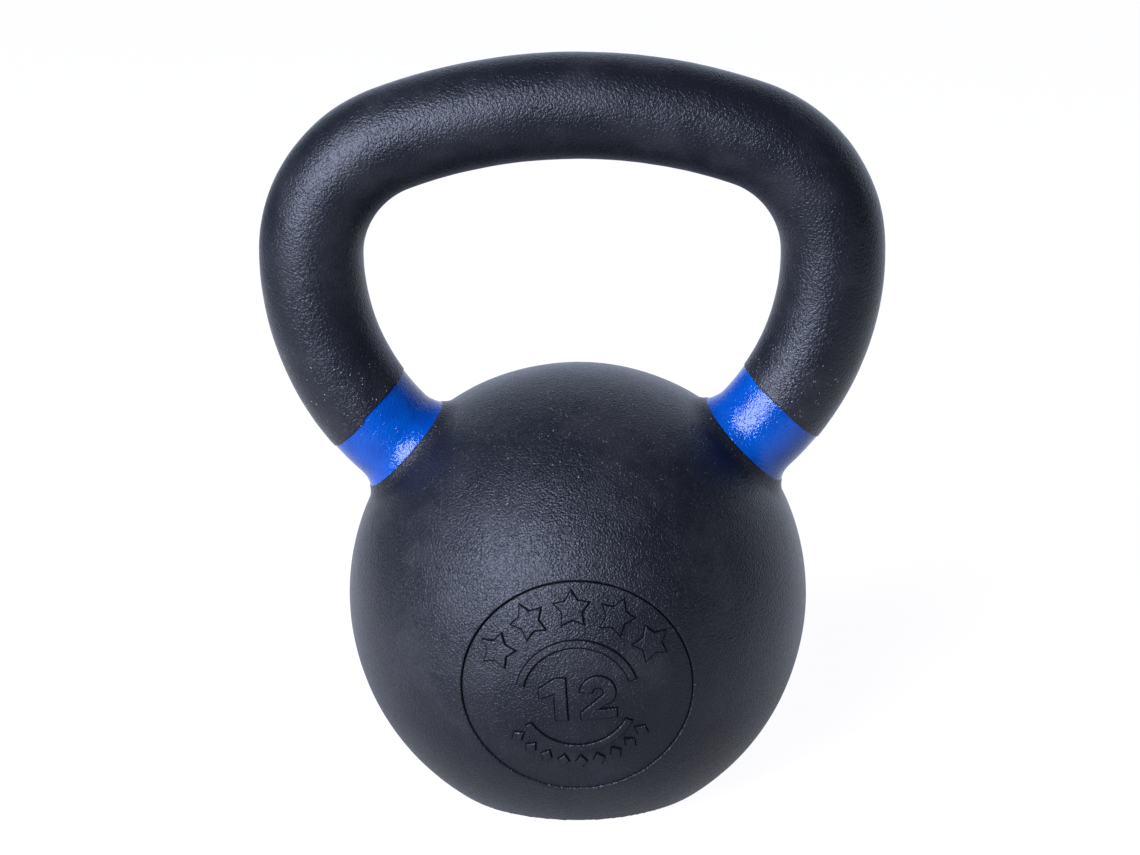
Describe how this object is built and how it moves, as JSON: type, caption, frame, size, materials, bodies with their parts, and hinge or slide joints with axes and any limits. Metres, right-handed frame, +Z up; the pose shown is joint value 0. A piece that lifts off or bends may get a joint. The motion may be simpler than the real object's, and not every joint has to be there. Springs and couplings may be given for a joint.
{
  "type": "kettlebell",
  "caption": "Cast iron kettlebell: a ball on a flat base, a bowed bar handle, colour bands at its feet and a round relief badge on the front.",
  "frame": {"origin": "centre of the flat base, on the surface it stands on", "axes": "+Z up through the middle of the grip, +X along the handle to the right as seen from the badge's side, +Y towards the back; the badge faces -Y"},
  "size_m": [0.1862, 0.14, 0.2259],
  "materials": {
    "iron": "satin black powder coat with a fine orange-peel texture over cast iron",
    "enamel": "glossy saturated blue enamel over cast iron"
  },
  "bodies": {
    "root": {"ball": "iron", "handle": "iron", "badge": "iron", "left_band": "enamel", "right_band": "enamel"}
  },
  "joints": []
}
